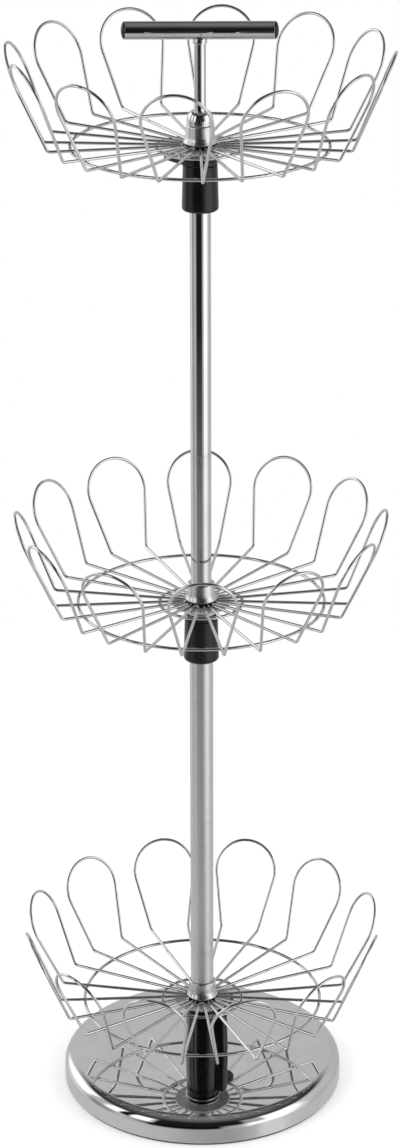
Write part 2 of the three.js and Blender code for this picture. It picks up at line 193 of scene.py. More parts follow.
tree, shader = start_finish("polished_chrome", 1.0)
smudges = noise(tree, place_vector(tree, isotropic(SMUDGE_SIZE)), detail=6.0)
vary(tree, shader, smudges, CHROME_SHADES, CHROME_ROUGHNESS)
waves = noise(tree, place_vector(tree, isotropic(POLISH_WAVE_SIZE)), detail=1.0)
bumped(tree, shader, waves, POLISH_WAVE_DEPTH)

# %% [markdown]
# ## Satin steel
#
# The bells and the lower tube are brushed, not polished. Brushing leaves very fine lines that blur
# the reflection. On the tube they run lengthwise, so the noise is stretched along Z: it changes fast
# across the tube and slowly along it. It stays faint, because a real satin tube looks smooth from a
# few metres away. A larger, soft noise makes the dull patches that the bells show.

# %% Satin steel
BRUSH_WIDTH = 0.0004
BRUSH_LENGTH = 0.03
BRUSH_DEPTH = 0.000003
DULL_PATCH_SIZE = 0.006
SATIN_SHADES = ((0.80, 0.795, 0.775), (0.86, 0.855, 0.835))
SATIN_ROUGHNESS = (0.23, 0.28)

tree, shader = start_finish("satin_steel", 1.0)
along_the_tube = (1 / BRUSH_WIDTH, 1 / BRUSH_WIDTH, 1 / BRUSH_LENGTH)
lines = noise(tree, place_vector(tree, along_the_tube), detail=3.0)
patches = noise(tree, place_vector(tree, isotropic(DULL_PATCH_SIZE)), detail=4.0)
vary(tree, shader, patches, SATIN_SHADES, SATIN_ROUGHNESS)
bumped(tree, shader, lines, BRUSH_DEPTH)

# %% [markdown]
# ## Black plastic
#
# The collars and the caps of the handle are moulded in a glossy black plastic. The mould leaves a
# fine grain, which is why the highlights are soft and not sharp. A second, larger noise lets the
# gloss vary, as it does on plastic that has been touched.

# %% Black plastic
GRAIN_SIZE = 0.0006
GRAIN_DEPTH = 0.000012
TOUCH_SIZE = 0.012
PLASTIC_SHADES = ((0.0035, 0.0035, 0.004), (0.007, 0.007, 0.008))
PLASTIC_ROUGHNESS = (0.12, 0.2)

tree, shader = start_finish("black_plastic", 0.0)
grain = noise(tree, place_vector(tree, isotropic(GRAIN_SIZE)), detail=2.0)
touches = noise(tree, place_vector(tree, isotropic(TOUCH_SIZE)), detail=5.0)
vary(tree, shader, touches, PLASTIC_SHADES, PLASTIC_ROUGHNESS)
bumped(tree, shader, grain, GRAIN_DEPTH)

# %% [markdown]
# ## Zinc, cast iron and foam
#
# The hub plates, the bolt and the plug are zinc plated. Zinc sets in small crystals, which show as
# grey and olive speckles of different shine. The ballast is rough cast iron and the pad is black
# foam. They hardly show, but they are real pieces, and the part may be seen from below.

# %% Cast iron and zinc
CASTING_SIZE = 0.0022
CASTING_DEPTH = 0.00025
IRON_SHADES = ((0.16, 0.15, 0.15), (0.28, 0.28, 0.285))
IRON_ROUGHNESS = (0.85, 0.6)  # the pale spots are the smoother ones
SPANGLE_SIZE = 0.0016
SPANGLE_DEPTH = 0.00003
ZINC_METALLIC = 0.5  # the plating is partly dull
ZINC_SHADES = ((0.36, 0.36, 0.33), (0.86, 0.86, 0.81))
ZINC_ROUGHNESS = (0.3, 0.5)

tree, shader = start_finish("cast_iron", 1.0)
casting = noise(tree, place_vector(tree, isotropic(CASTING_SIZE)), detail=6.0)
vary(tree, shader, casting, IRON_SHADES, IRON_ROUGHNESS)
bumped(tree, shader, casting, CASTING_DEPTH)

tree, shader = start_finish("zinc_steel", ZINC_METALLIC)
spangle = noise(tree, place_vector(tree, isotropic(SPANGLE_SIZE)), detail=3.0)
vary(tree, shader, spangle, ZINC_SHADES, ZINC_ROUGHNESS)
bumped(tree, shader, spangle, SPANGLE_DEPTH)

# %% Foam
FOAM_CELL = 0.0011
FOAM_DEPTH = 0.0003
FOAM_SHADES = ((0.04, 0.04, 0.042), (0.075, 0.075, 0.08))
FOAM_ROUGHNESS = 0.92

tree, shader = start_finish("foam_pad", 0.0)
cells = tree.nodes.new("ShaderNodeTexVoronoi")
cells.inputs["Scale"].default_value = 1.0
tree.links.new(place_vector(tree, isotropic(FOAM_CELL)), cells.inputs["Vector"])
foam_shade = spread(tree, cells.outputs["Distance"], 0, 1, 0, 1)
two_shades(tree, shader, foam_shade, *FOAM_SHADES)
shader.inputs["Roughness"].default_value = FOAM_ROUGHNESS
bumped(tree, shader, cells.outputs["Distance"], FOAM_DEPTH)
print("finishes:", sorted(finishes))

# %% [markdown]
# ## Turned pieces
#
# Tubes, bells, washers and the base are all turned about the post's axis. One helper takes an
# outline of distances and heights and spins it. A corner of a real part is never quite sharp, and
# it is the small round on the corner that catches the light, so each corner can have its own radius.
#
# Smooth shading blends the slope between the corners of a face. On a long straight face next to a
# round, that tilts the whole face, and a mirror shows it as a bent reflection. A support point close
# to each end of every long run keeps the blend inside a narrow strip.

# %% Keep long runs straight
LONG_RUN = 0.0024
SUPPORT_DISTANCE = 0.0003


def steadied(points, closed):
    """The same line of points, with a support point close to both ends of each long run."""
    result = []
    for i, point in enumerate(points):
        result.append(point)
        if i == len(points) - 1 and not closed:
            break
        ahead = points[(i + 1) % len(points)]
        run = ahead - point
        if run.length > LONG_RUN:
            step = run * (SUPPORT_DISTANCE / run.length)
            result += [point + step, ahead - step]
    return result


# %% Round the corners of an outline
CORNER_STEPS = 4


def rounded(outline, steps):
    """Points along a closed outline of corners (x, y, radius). A radius of 0 keeps one sharp."""
    points = []
    for i, (x, y, radius) in enumerate(outline):
        corner = Vector((x, y))
        if radius == 0:
            points.append(corner)
            continue
        back = (Vector(outline[i - 1][:2]) - corner).normalized()
        ahead = (Vector(outline[(i + 1) % len(outline)][:2]) - corner).normalized()
        half = back.angle(ahead) / 2
        centre = corner + (back + ahead).normalized() * (radius / math.sin(half))
        first = corner + back * (radius / math.tan(half)) - centre
        last = corner + ahead * (radius / math.tan(half)) - centre
        sweep = first.angle_signed(last)
        for k in range(steps + 1):
            turn = Matrix.Rotation(-sweep * k / steps, 2)
            points.append(centre + turn @ first)
    return steadied(points, closed=True)


# %% Spin an outline
TURNED_SIDES = 96
SHARP_ANGLE = math.radians(32)
SAME_POINT = 1e-7  # points closer than this become one


def finish_mesh(shape, name):
    """Turns working geometry into a smooth mesh that keeps its real edges."""
    bmesh.ops.remove_doubles(shape, verts=shape.verts, dist=SAME_POINT)
    bmesh.ops.recalc_face_normals(shape, faces=shape.faces)
    mesh = bpy.data.meshes.new(name)
    shape.to_mesh(mesh)
    shape.free()
    mesh.shade_smooth()
    mesh.set_sharp_from_angle(angle=SHARP_ANGLE)
    return mesh


def spin(name, outline, sides=TURNED_SIDES, corner_steps=CORNER_STEPS):
    """A solid of revolution about the Z axis, from a closed outline of (distance, height, radius)."""
    shape = bmesh.new()
    points = rounded(outline, corner_steps)
    rings = []
    for i in range(sides):
        turn = 2 * math.pi * i / sides
        rings.append([
            shape.verts.new((p.x * math.cos(turn), p.x * math.sin(turn), p.y)) for p in points
        ])
    for i, ring in enumerate(rings):
        following = rings[(i + 1) % sides]
        for k in range(len(points)):
            n = (k + 1) % len(points)
            if points[k].x > 0 or points[n].x > 0:
                shape.faces.new((ring[k], following[k], following[n], ring[n]))
    return finish_mesh(shape, name)


# %% [markdown]
# ## Heights from the frame
#
# The CAD nodes say where everything is. A node's box gives its foot and its top, and the hub plate
# gives the height of the wires, which lie just above it.

# %% Measure the frame
gap = 0.0003  # between pieces that touch or run on each other
wire_radius = 0.0014
ring_wire_radius = 0.0015


def low(node):
    """The height of a node's foot."""
    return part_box(node)[0].z


def high(node):
    """The height of a node's top."""
    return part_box(node)[1].z


def radius_of(node):
    """The largest distance of a round node from the post's axis."""
    return max(Vector(vertex.co[:2]).length for vertex in nodes[node].data.vertices)


hub_height = {tier: high(f"{tier}_hub_plate") + gap + wire_radius for tier in tiers}
lower_tube_radius = radius_of("lower_tube")
upper_tube_radius = radius_of("upper_tube")
tube_wall = 0.0012
tube_radius = {"bottom": lower_tube_radius, "middle": lower_tube_radius, "top": upper_tube_radius}
print("hub heights:", {tier: round(height, 4) for tier, height in hub_height.items()})

# %% [markdown]
# ## The post
#
# The post is two tubes, the thinner one sliding in the thicker one. The lower tube is satin and the
# upper one is polished. Each cut end has a tiny chamfer, drawn here as a round.

# %% Two tubes
TUBE_END_ROUND = 0.0003


def tube_outline(outer, inner, foot, top, bend):
    """The outline of a plain tube or washer with rounded edges."""
    return [(inner, foot, bend), (outer, foot, bend), (outer, top, bend), (inner, top, bend)]


for node, radius in (("lower_tube", lower_tube_radius), ("upper_tube", upper_tube_radius)):
    outline = tube_outline(radius, radius - tube_wall, low(node), high(node), TUBE_END_ROUND)
    add_piece(f"{node}_fine", spin(f"{node}_fine", outline), node)
    print(node, "radius:", round(radius, 4))

# %% [markdown]
# ## The base
#
# The base is a spun steel cover, chromed, over an iron disc. Spinning gives it a wide round between
# the top and the side, and at the foot the sheet is turned inward, just above the pad. The top is a
# mirror, so its flatness matters more than anything else: the wide round gets many steps, and the
# top none at all.

# %% Base cover
base_radius = radius_of("base_shell")
base_foot, base_top = low("base_shell"), high("base_shell")
base_wall = 0.0015
base_edge_round = 0.011
base_lip_width = 0.012
bolt_hole_radius = 0.0043
BASE_SIDES = 192
BASE_CORNER_STEPS = 16
BASE_LIP_ROUND = 0.0006

base_outline = [
    (base_radius - base_lip_width, base_foot, BASE_LIP_ROUND),
    (base_radius, base_foot, 2 * BASE_LIP_ROUND),
    (base_radius, base_top, base_edge_round),
    (bolt_hole_radius, base_top, 0),
    (bolt_hole_radius, base_top - base_wall, 0),
    (base_radius - base_wall, base_top - base_wall, base_edge_round - base_wall),
    (base_radius - base_wall, base_foot + base_wall, BASE_LIP_ROUND),
    (base_radius - base_lip_width, base_foot + base_wall, BASE_LIP_ROUND),
]
add_piece("base_cover", spin("base_cover", base_outline, BASE_SIDES, BASE_CORNER_STEPS), "base_shell")
print("base radius:", round(base_radius, 4))

# %% [markdown]
# The pad is a foam disc with a softly rounded edge, glued under the rim.

# %% Base pad
PAD_ROUND = 0.0007
pad_radius, pad_top = radius_of("base_pad"), high("base_pad")
pad_outline = [
    (0, 0, 0),
    (pad_radius, 0, PAD_ROUND),
    (pad_radius, pad_top, PAD_ROUND),
    (0, pad_top, 0),
]
add_piece("base_foam_pad", spin("base_foam_pad", pad_outline, BASE_SIDES), "base_pad")
print("pad thickness:", round(pad_top, 4))

# %% [markdown]
# ## Wire loops
#
# Each basket has twelve loops. A loop starts at the hub, runs out along the floor of the basket,
# turns up at an elbow, goes over a round top and comes back the same way. Two neighbouring loops are
# bent from one wire, with a tight turn between them at the hub. The wire could be swept by hand, but
# a curve with a round bevel does the same in a few lines, and it is turned into a mesh at the end.

# %% Sweep a round wire
WIRE_BEVEL = 4
WIRE_WELD_DISTANCE = 1e-6


def wire(name, points, radius, closed=False):
    """A round wire along a line of points."""
    line = bpy.data.curves.new(name, "CURVE")
    line.dimensions = "3D"
    line.bevel_depth = radius
    line.bevel_resolution = WIRE_BEVEL
    line.use_fill_caps = not closed
    spline = line.splines.new("POLY")
    spline.points.add(len(points) - 1)
    for knot, place in zip(spline.points, points):
        knot.co = (*place, 1)
    spline.use_cyclic_u = closed
    holder = bpy.data.objects.new(name, line)
    swept = bpy.data.meshes.new_from_object(holder)
    shape = bmesh.new()
    shape.from_mesh(swept)
    bmesh.ops.remove_doubles(shape, verts=shape.verts, dist=WIRE_WELD_DISTANCE)
    bpy.data.objects.remove(holder)
    bpy.data.meshes.remove(swept)
    return shape


# %% [markdown]
# A bend needs many short steps, and a straight run needs none. This helper gives the steps round
# one corner of a path.

# %% Bend a path at a corner
def polar(distance, angle, height):
    """A point at a distance and a bearing from the post's axis."""
    return Vector((distance * math.cos(angle), distance * math.sin(angle), height))


def bend(before, corner, after, radius, steps):
    """Points round the bend at a corner, between the straight runs that meet there."""
    arriving = (corner - before).normalized()
    leaving = (after - corner).normalized()
    turn = arriving.angle(leaving)
    axis = arriving.cross(leaving).normalized()
    start = corner - arriving * (radius * math.tan(turn / 2))
    centre = start + axis.cross(arriving) * radius
    return [
        centre + Matrix.Rotation(turn * i / steps, 3, axis) @ (start - centre)
        for i in range(steps + 1)
    ]


# %% [markdown]
# The sizes below are the basket's own. The loops lean outward, and the hub sits a little lower than
# the elbows, so the floor of the basket is a very shallow cone.

# %% One loop
petal_count = 12
elbow_radius = 0.1362
elbow_spacing = 0.0378
elbow_bend = 0.004
hub_drop = 0.003
petal_lean = math.radians(22.8)
petal_leg_rise = 0.0598
petal_arc_radius = 0.0303
spoke_reach = 0.0155
ELBOW_STEPS = 8
ARC_STEPS = 48

petal_step = 2 * math.pi / petal_count
spoke_angle = math.atan2(elbow_spacing / 2, elbow_radius)
seam_angle = petal_step / 2 - spoke_angle
turn_centre = spoke_reach / (1 - math.sin(seam_angle))
turn_distance = turn_centre * math.cos(seam_angle)
elbow_distance = math.hypot(elbow_radius, elbow_spacing / 2)


def petal_point(across, rise):
    """A point in the leaning plane of a loop that stands on the X axis."""
    return Vector((
        elbow_radius + rise * math.sin(petal_lean),
        across,
        hub_drop + rise * math.cos(petal_lean),
    ))


def petal_points(heading):
    """One loop, from its first elbow over the top to its second."""
    leg_span = math.hypot(elbow_spacing / 2, petal_leg_rise)
    arc_end = math.acos(petal_arc_radius / leg_span) - math.atan2(petal_leg_rise, elbow_spacing / 2)
    top = []
    for i in range(ARC_STEPS + 1):
        angle = (math.pi - arc_end) + (2 * arc_end - math.pi) * i / ARC_STEPS
        rise = petal_leg_rise + petal_arc_radius * math.sin(angle)
        top.append(petal_point(petal_arc_radius * math.cos(angle), rise))
    right_elbow = petal_point(-elbow_spacing / 2, 0)
    left_elbow = petal_point(elbow_spacing / 2, 0)
    right_spoke = polar(turn_distance, -spoke_angle, 0)
    left_spoke = polar(turn_distance, spoke_angle, 0)
    points = [
        *bend(right_spoke, right_elbow, top[0], elbow_bend, ELBOW_STEPS),
        *top,
        *bend(top[-1], left_elbow, left_spoke, elbow_bend, ELBOW_STEPS),
    ]
    return [Matrix.Rotation(heading, 3, "Z") @ point for point in points]


# %% [markdown]
# The turn at the hub is an arc that both spokes run into. With it, a pair of loops is one line.
# Six such pairs make a basket, and each basket stands turned by its own angle, as in the photograph.

# %% Pairs of loops
TURN_STEPS = 12


def turn_points(seam_heading):
    """The tight turn at the hub between two neighbouring loops."""
    radius = turn_centre * math.sin(seam_angle)
    points = []
    for i in range(TURN_STEPS + 1):
        angle = -(math.pi / 2 + seam_angle) - (math.pi - 2 * seam_angle) * i / TURN_STEPS
        local = Vector((turn_centre + radius * math.cos(angle), radius * math.sin(angle), 0))
        points.append(Matrix.Rotation(seam_heading, 3, "Z") @ local)
    return points


def pair_points(heading):
    """Two neighbouring loops as one line, from the end of one spoke to the end of the last."""
    following = heading + petal_step
    return [
        polar(spoke_reach, heading - spoke_angle, 0),
        polar(turn_distance, heading - spoke_angle, 0),
        *petal_points(heading),
        *turn_points(heading + petal_step / 2),
        *petal_points(following),
        polar(turn_distance, following + spoke_angle, 0),
        polar(spoke_reach, following + spoke_angle, 0),
    ]


print("points along one pair of loops:", len(steadied(pair_points(0), closed=False)))

# %% Place the loops
tier_turn = {"bottom": math.radians(13.9), "middle": math.radians(0.6), "top": math.radians(-7)}


def tier_place(tier):
    """Moves a mesh from the origin up to a basket's hub, turned by the basket's own angle."""
    return Matrix.Translation((0, 0, hub_height[tier])) @ Matrix.Rotation(tier_turn[tier], 4, "Z")


for tier in tiers:
    for pair in range(petal_count // 2):
        points = steadied(pair_points(2 * pair * petal_step), closed=False)
        shape = wire(f"{tier}_loops", points, wire_radius)
        shape.transform(tier_place(tier))
        name = f"{tier}_loops_{pair + 1}"
        add_piece(name, finish_mesh(shape, name), f"{tier}_petal_pair_{pair + 1}")
    print(tier, "loops:", petal_count)

# %% [markdown]
# ## Rings and their welds
#
# Two closed rings run under the spokes. Where wires cross, a spot weld presses them together and
# squeezes out a little metal. Without the welds the rings seem to float, so each crossing gets a
# small soft lump that reaches from the ring into the spoke.

# %% Rings with weld spots
RING_STEPS = 144
WELD_LENGTH = 0.0021
WELD_WIDTH = 0.0013
WELD_SIDES = 8


def spoke_height(distance):
    """How far a spoke has risen above the hub, at a distance from the axis."""
    return hub_drop * (distance - turn_distance) / (elbow_distance - turn_distance)


def weld(shape, place, heading):
    """A flattened lump of metal, longest along the spoke."""
    size = Matrix.Diagonal((WELD_LENGTH, WELD_WIDTH, WELD_WIDTH, 1))
    where = Matrix.Translation(place) @ Matrix.Rotation(heading, 4, "Z") @ size
    bmesh.ops.create_uvsphere(
        shape,
        u_segments=2 * WELD_SIDES,
        v_segments=WELD_SIDES,
        radius=1,
        matrix=where,
    )


def ring_mesh(name, radius, tier):
    """A ring under the spokes of a basket, with a weld at each spoke."""
    centre_height = spoke_height(radius) - wire_radius - gap - ring_wire_radius
    step = 2 * math.pi / RING_STEPS
    places = [polar(radius, step * i, centre_height) for i in range(RING_STEPS)]
    shape = wire(name, places, ring_wire_radius, closed=True)
    for petal in range(petal_count):
        for side in (-1, 1):
            heading = petal * petal_step + side * spoke_angle
            weld(shape, polar(radius, heading, centre_height + ring_wire_radius), heading)
    shape.transform(tier_place(tier))
    return finish_mesh(shape, name)


ring_radius = {"outer_ring": 0.1145, "inner_ring": 0.0387}
for tier in tiers:
    for ring, radius in ring_radius.items():
        name = f"{tier}_{ring}_welded"
        add_piece(name, ring_mesh(name, radius, tier), f"{tier}_{ring}")
print("welds on each ring:", 2 * petal_count)

# %% [markdown]
# ## Hub plates, bushes and washers
#
# The spokes end on a pressed steel plate. Under it a plastic bush turns on the tube, between two
# polished washers that show as bright lines over each black sleeve.

# %% Flat hub pieces
PLATE_ROUND = 0.0006
WASHER_ROUND = 0.0004
BUSH_ROUND = 0.0003
bush_wall = 0.0025
bush_flange_height = 0.0026


def flat_piece(node, name, inner, corner_round):
    """A plate or washer with the outer size and the heights of its CAD node."""
    outline = tube_outline(radius_of(node), inner, low(node), high(node), corner_round)
    add_piece(name, spin(name, outline), node)


for tier in tiers:
    tube = tube_radius[tier]
    barrel = lower_tube_radius + gap + bush_wall
    flat_piece(f"{tier}_hub_plate", f"{tier}_plate", barrel + gap, PLATE_ROUND)
    flat_piece(f"{tier}_upper_washer", f"{tier}_washer_above", barrel + gap, WASHER_ROUND)
    flat_piece(f"{tier}_lower_washer", f"{tier}_washer_below", tube + gap, WASHER_ROUND)
    node = f"{tier}_hub_bush"
    foot, top, flange = low(node), high(node), radius_of(node)
    bush_outline = [
        (tube + gap, foot, BUSH_ROUND),
        (flange, foot, BUSH_ROUND),
        (flange, foot + bush_flange_height, BUSH_ROUND),
        (barrel, foot + bush_flange_height, 0),
        (barrel, top, BUSH_ROUND),
        (tube + gap, top, BUSH_ROUND),
    ]
    add_piece(f"{tier}_bush", spin(f"{tier}_bush", bush_outline), node)
    print(tier, "bush bore:", round(2 * (tube + gap), 4))

# %% [markdown]
# ## Bells
#
# A bell covers the ends of the spokes. It is spun from thin sheet: a slightly tapered wall that
# flares into a rolled lip. The flare is the part that an eye picks out, so it is a smooth curve that
# leaves the lip quickly and runs out slowly into the wall. The middle bell has a stepped bore,
# because the lower tube ends inside it and only the thinner tube goes on.

# %% Bells over the hubs
bell_lip_radius = 0.015
bell_lip_height = 0.0014
bell_flare_height = 0.007
bell_waist_radius = 0.0131
FLARE_STEPS = 10
FLARE_CURVE = 1.7
BELL_LIP_ROUND = 0.0006
BELL_TOP_ROUND = 0.0012
bell_top_radius = {"bottom": 0.0126, "middle": 0.0126, "top": 0.0122}
lower_tube_top = high("lower_tube")


def flare(foot):
    """Corners from the lip up to the waist, steep at the lip and upright at the waist."""
    corners = []
    for i in range(FLARE_STEPS + 1):
        share = i / FLARE_STEPS
        inward = 1 - (1 - share) ** FLARE_CURVE
        distance = bell_lip_radius + (bell_waist_radius - bell_lip_radius) * inward
        height = foot + bell_lip_height + share * (bell_flare_height - bell_lip_height)
        corners.append((distance, height, 0))
    return corners


for tier in tiers:
    node = f"{tier}_hub_bell"
    foot, top = low(node), high(node)
    crown = (bell_top_radius[tier], top, BELL_TOP_ROUND)
    outer_wall = [(bell_lip_radius, foot, BELL_LIP_ROUND), *flare(foot), crown]
    wide, narrow = tube_radius[tier] + gap, upper_tube_radius + gap
    if tier == "middle":
        step = lower_tube_top + gap
        bore = [(narrow, top, 0), (narrow, step, 0), (wide, step, 0), (wide, foot, 0)]
    else:
        bore = [(wide, top, 0), (wide, foot, 0)]
    add_piece(f"{tier}_bell", spin(f"{tier}_bell", outer_wall + bore), node)
    print(tier, "bell height:", round(top - foot, 4))

# %% [markdown]
# ## Lock rings and sleeves
#
# Under each hub is a black collar. Its upper part is a ring with a thumb lobe, and the long sleeve
# below it grips the tube, with a lug on its side for the clamp. Seen from above, each is a circle
# with something round standing out of it. Such a shape has just one distance to its edge in each
# direction from the axis, so it can be spun like the turned pieces, with a distance that changes on
# the way round.

# %% Outlines seen from above
lobe_reach = 0.028
lobe_end = 0.0115
lug_reach = 0.0187
lug_radius = 0.0063
LUG_FILLET = math.radians(9)


def lobed_distance(angle, circle, end):
    """How far the edge is from the axis, for a circle joined by straight lines to the lobe's end."""
    angle = abs((angle + math.pi) % (2 * math.pi) - math.pi)
    tangent = math.acos((circle - end) / lobe_reach)
    end_angle = math.atan2(end * math.sin(tangent), lobe_reach + end * math.cos(tangent))
    if angle >= tangent:
        return circle
    if angle > end_angle:
        return circle / math.cos(angle - tangent)
    return lobe_reach * math.cos(angle) + math.sqrt(end**2 - (lobe_reach * math.sin(angle)) ** 2)


def lugged_distance(angle, circle, end):
    """How far the edge is from the axis, for a circle with a smaller circle standing on its edge."""
    angle = abs((angle + math.pi) % (2 * math.pi) - math.pi)
    side = math.asin(end / lug_reach)
    if angle < side:
        return lug_reach * math.cos(angle) + math.sqrt(end**2 - (lug_reach * math.sin(angle)) ** 2)
    share = min((angle - side) / LUG_FILLET, 1)
    return circle + (math.sqrt(lug_reach**2 - end**2) - circle) * (1 - share) ** 2


# %% Pieces with a lobe or a lug
LOBED_SIDES = 240


def spin_shaped(name, levels, bore, heading, distance):
    """A piece with a round bore, from levels (circle, end, height). No end means a plain circle."""
    shape = bmesh.new()
    rings = []
    for i in range(LOBED_SIDES):
        angle = 2 * math.pi * i / LOBED_SIDES
        turn = heading + angle
        ring = []
        for circle, end, height in levels:
            edge = circle if end is None else distance(angle, circle, end)
            ring.append(shape.verts.new(polar(edge, turn, height)))
        ring.append(shape.verts.new(polar(bore, turn, levels[-1][2])))
        ring.append(shape.verts.new(polar(bore, turn, levels[0][2])))
        rings.append(ring)
    for i, ring in enumerate(rings):
        following = rings[(i + 1) % LOBED_SIDES]
        for k in range(len(ring)):
            n = (k + 1) % len(ring)
            shape.faces.new((ring[k], following[k], following[n], ring[n]))
    return finish_mesh(shape, name)


def edge_levels(circle, end, height, round_radius, upper):
    """Levels round the lower or upper edge of a slab, with a support level on both sides."""
    way = 1 if upper else -1
    levels = []
    for i in range(CORNER_STEPS + 1):
        angle = math.pi / 2 * i / CORNER_STEPS
        inset = round_radius * (1 - math.cos(angle))
        rise = way * round_radius * (math.sin(angle) - 1)
        levels.append((circle - inset, end - inset, height + rise))
    inset = round_radius + SUPPORT_DISTANCE
    levels.insert(0, (circle, end, height - way * inset))
    levels.append((circle - inset, end - inset, height))
    return levels if upper else levels[::-1]


# %% Lock rings
lobe_heading = {"bottom": math.radians(46), "middle": math.radians(90), "top": math.radians(138)}
lobe_thickness = 0.0045
collar_radius = 0.0155
LOBE_ROUND = 0.0009

for tier in tiers:
    node = f"{tier}_lock_ring"
    foot, top = low(node), high(node)
    neck = collar_radius - LOBE_ROUND - SUPPORT_DISTANCE
    levels = [
        *edge_levels(collar_radius, lobe_end, foot, LOBE_ROUND, upper=False),
        *edge_levels(collar_radius, lobe_end, foot + lobe_thickness, LOBE_ROUND, upper=True),
        (neck, None, foot + lobe_thickness + SUPPORT_DISTANCE),
        (neck, None, top - LOBE_ROUND),
        (neck - LOBE_ROUND, None, top),
    ]
    name = f"{tier}_thumb_ring"
    mesh = spin_shaped(name, levels, tube_radius[tier] + gap, lobe_heading[tier], lobed_distance)
    add_piece(name, mesh, node)
    print(name, "corners:", len(mesh.vertices))

# %% [markdown]
# The sleeve widens a little towards its foot, as a moulded part does so that it leaves its mould.
# The lug runs down its whole height. On the bottom sleeve it stands on the right, a little forward,
# and on the other two it is behind the post.

# %% Sleeves
SLEEVE_TOP_ROUND = 0.0006
SLEEVE_FOOT_ROUND = 0.0025
sleeve_flare = 0.001
lug_heading = {"bottom": math.radians(-18), "middle": math.radians(90), "top": math.radians(90)}

for tier in tiers:
    node = f"{tier}_sleeve"
    foot, top = low(node), high(node)
    wide, wide_lug = collar_radius + sleeve_flare, lug_radius + sleeve_flare
    levels = [
        *edge_levels(wide, wide_lug, foot, SLEEVE_FOOT_ROUND, upper=False),
        *edge_levels(collar_radius, lug_radius, top, SLEEVE_TOP_ROUND, upper=True),
    ]
    name = f"{tier}_grip_sleeve"
    mesh = spin_shaped(name, levels, tube_radius[tier] + gap, lug_heading[tier], lugged_distance)
    add_piece(name, mesh, node)
    print(name, "height:", round(top - foot, 4))

# %% [markdown]
# ## Cap nut and handle
#
# A domed nut closes the top bell, and a rod rises from it to the T handle. The handle is a length of
# tube with a domed plastic cap in each end. A small ferrule hides the joint, and its top is cut to
# the curve of the bar.

# %% Cap nut and rod
cap_nut_radius = radius_of("cap_nut")
cap_nut_top_radius = 0.0074
cap_nut_rim = 0.002
rod_radius = radius_of("handle_rod")
DOME_STEPS = 12
EDGE_ROUND = 0.0004


def dome(wide, narrow, foot, top):
    """Corners up a quarter of an ellipse, from a wide foot to a narrower top."""
    corners = []
    for i in range(DOME_STEPS + 1):
        angle = math.pi / 2 * i / DOME_STEPS
        distance = narrow + (wide - narrow) * math.cos(angle)
        corners.append((distance, foot + (top - foot) * math.sin(angle), 0))
    return corners


nut_foot, nut_top = low("cap_nut"), high("cap_nut")
nut_outline = [
    (rod_radius + gap, nut_foot, 0),
    (cap_nut_radius, nut_foot, EDGE_ROUND),
    *dome(cap_nut_radius, cap_nut_top_radius, nut_foot + cap_nut_rim, nut_top),
    (rod_radius + gap, nut_top, EDGE_ROUND),
]
add_piece("domed_nut", spin("domed_nut", nut_outline), "cap_nut")

rod_outline = [
    (0, low("handle_rod"), 0),
    (rod_radius, low("handle_rod"), EDGE_ROUND),
    (rod_radius, high("handle_rod"), EDGE_ROUND),
    (0, high("handle_rod"), 0),
]
add_piece("handle_stem", spin("handle_stem", rod_outline), "handle_rod")
print("rod length:", round(high("handle_rod") - low("handle_rod"), 4))

# %% [markdown]
# The bar and its caps are turned pieces that lie on their side, so they are spun upright and then
# laid along X. The hole for the rod is cut with a Boolean modifier.

# %% Handle bar and caps
bar_low, bar_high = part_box("handle_bar")
bar_height = (bar_low.z + bar_high.z) / 2
bar_radius = (bar_high.z - bar_low.z) / 2
bar_half = bar_high.x
cap_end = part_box("handle_end_cap_right")[1].x
end_cap_plug = 0.008
DRILL_SIDES = 48
LAID = Matrix.Translation((0, 0, bar_height)) @ Matrix.Rotation(math.pi / 2, 4, "Y")


def laid(mesh, side=1):
    """Lays an upright turned mesh along X, towards +X or -X."""
    mesh.transform(LAID if side > 0 else Matrix.Rotation(math.pi, 4, "Z") @ LAID)
    return mesh


def cut_hole(mesh, radius, foot, top):
    """Cuts an upright round hole through one wall of a mesh."""
    outline = [(0, foot, 0), (radius, foot, 0), (radius, top, 0), (0, top, 0)]
    drill = bpy.data.objects.new("drill", spin("drill", outline, DRILL_SIDES))
    work = bpy.data.objects.new("work", mesh)
    for item in (drill, work):
        bpy.context.scene.collection.objects.link(item)
    boolean = work.modifiers.new("hole", "BOOLEAN")
    boolean.operation = "DIFFERENCE"
    boolean.object = drill
    bpy.context.view_layer.update()
    cut = work.evaluated_get(bpy.context.evaluated_depsgraph_get())
    result = bpy.data.meshes.new_from_object(cut)
    bpy.data.objects.remove(work)
    bpy.data.objects.remove(drill)
    return result


bar_outline = tube_outline(bar_radius, bar_radius - tube_wall, -bar_half, bar_half, TUBE_END_ROUND)
bar_mesh = laid(spin("handle_tube", bar_outline))
bar_mesh = cut_hole(bar_mesh, rod_radius + gap, bar_low.z - bar_radius, bar_height)
bar_mesh.set_sharp_from_angle(angle=SHARP_ANGLE)
add_piece("handle_tube", bar_mesh, "handle_bar")

plug_radius = bar_radius - tube_wall - gap
cap_foot = bar_half + gap
cap_outline = [
    (0, bar_half - end_cap_plug, 0),
    (plug_radius, bar_half - end_cap_plug, EDGE_ROUND),
    (plug_radius, cap_foot, 0),
    *dome(bar_radius, 0, cap_foot, cap_end),
]
for side, word in ((1, "right"), (-1, "left")):
    cap = laid(spin(f"{word}_cap", cap_outline), side)
    add_piece(f"{word}_cap", cap, f"handle_end_cap_{word}")
print("handle width:", round(2 * cap_end, 4))

# %% [markdown]
# The ferrule is spun like the nut, a little too tall. Each of its points that would stand in the bar
# is then lowered to just under the bar, which leaves a saddle that fits round it.

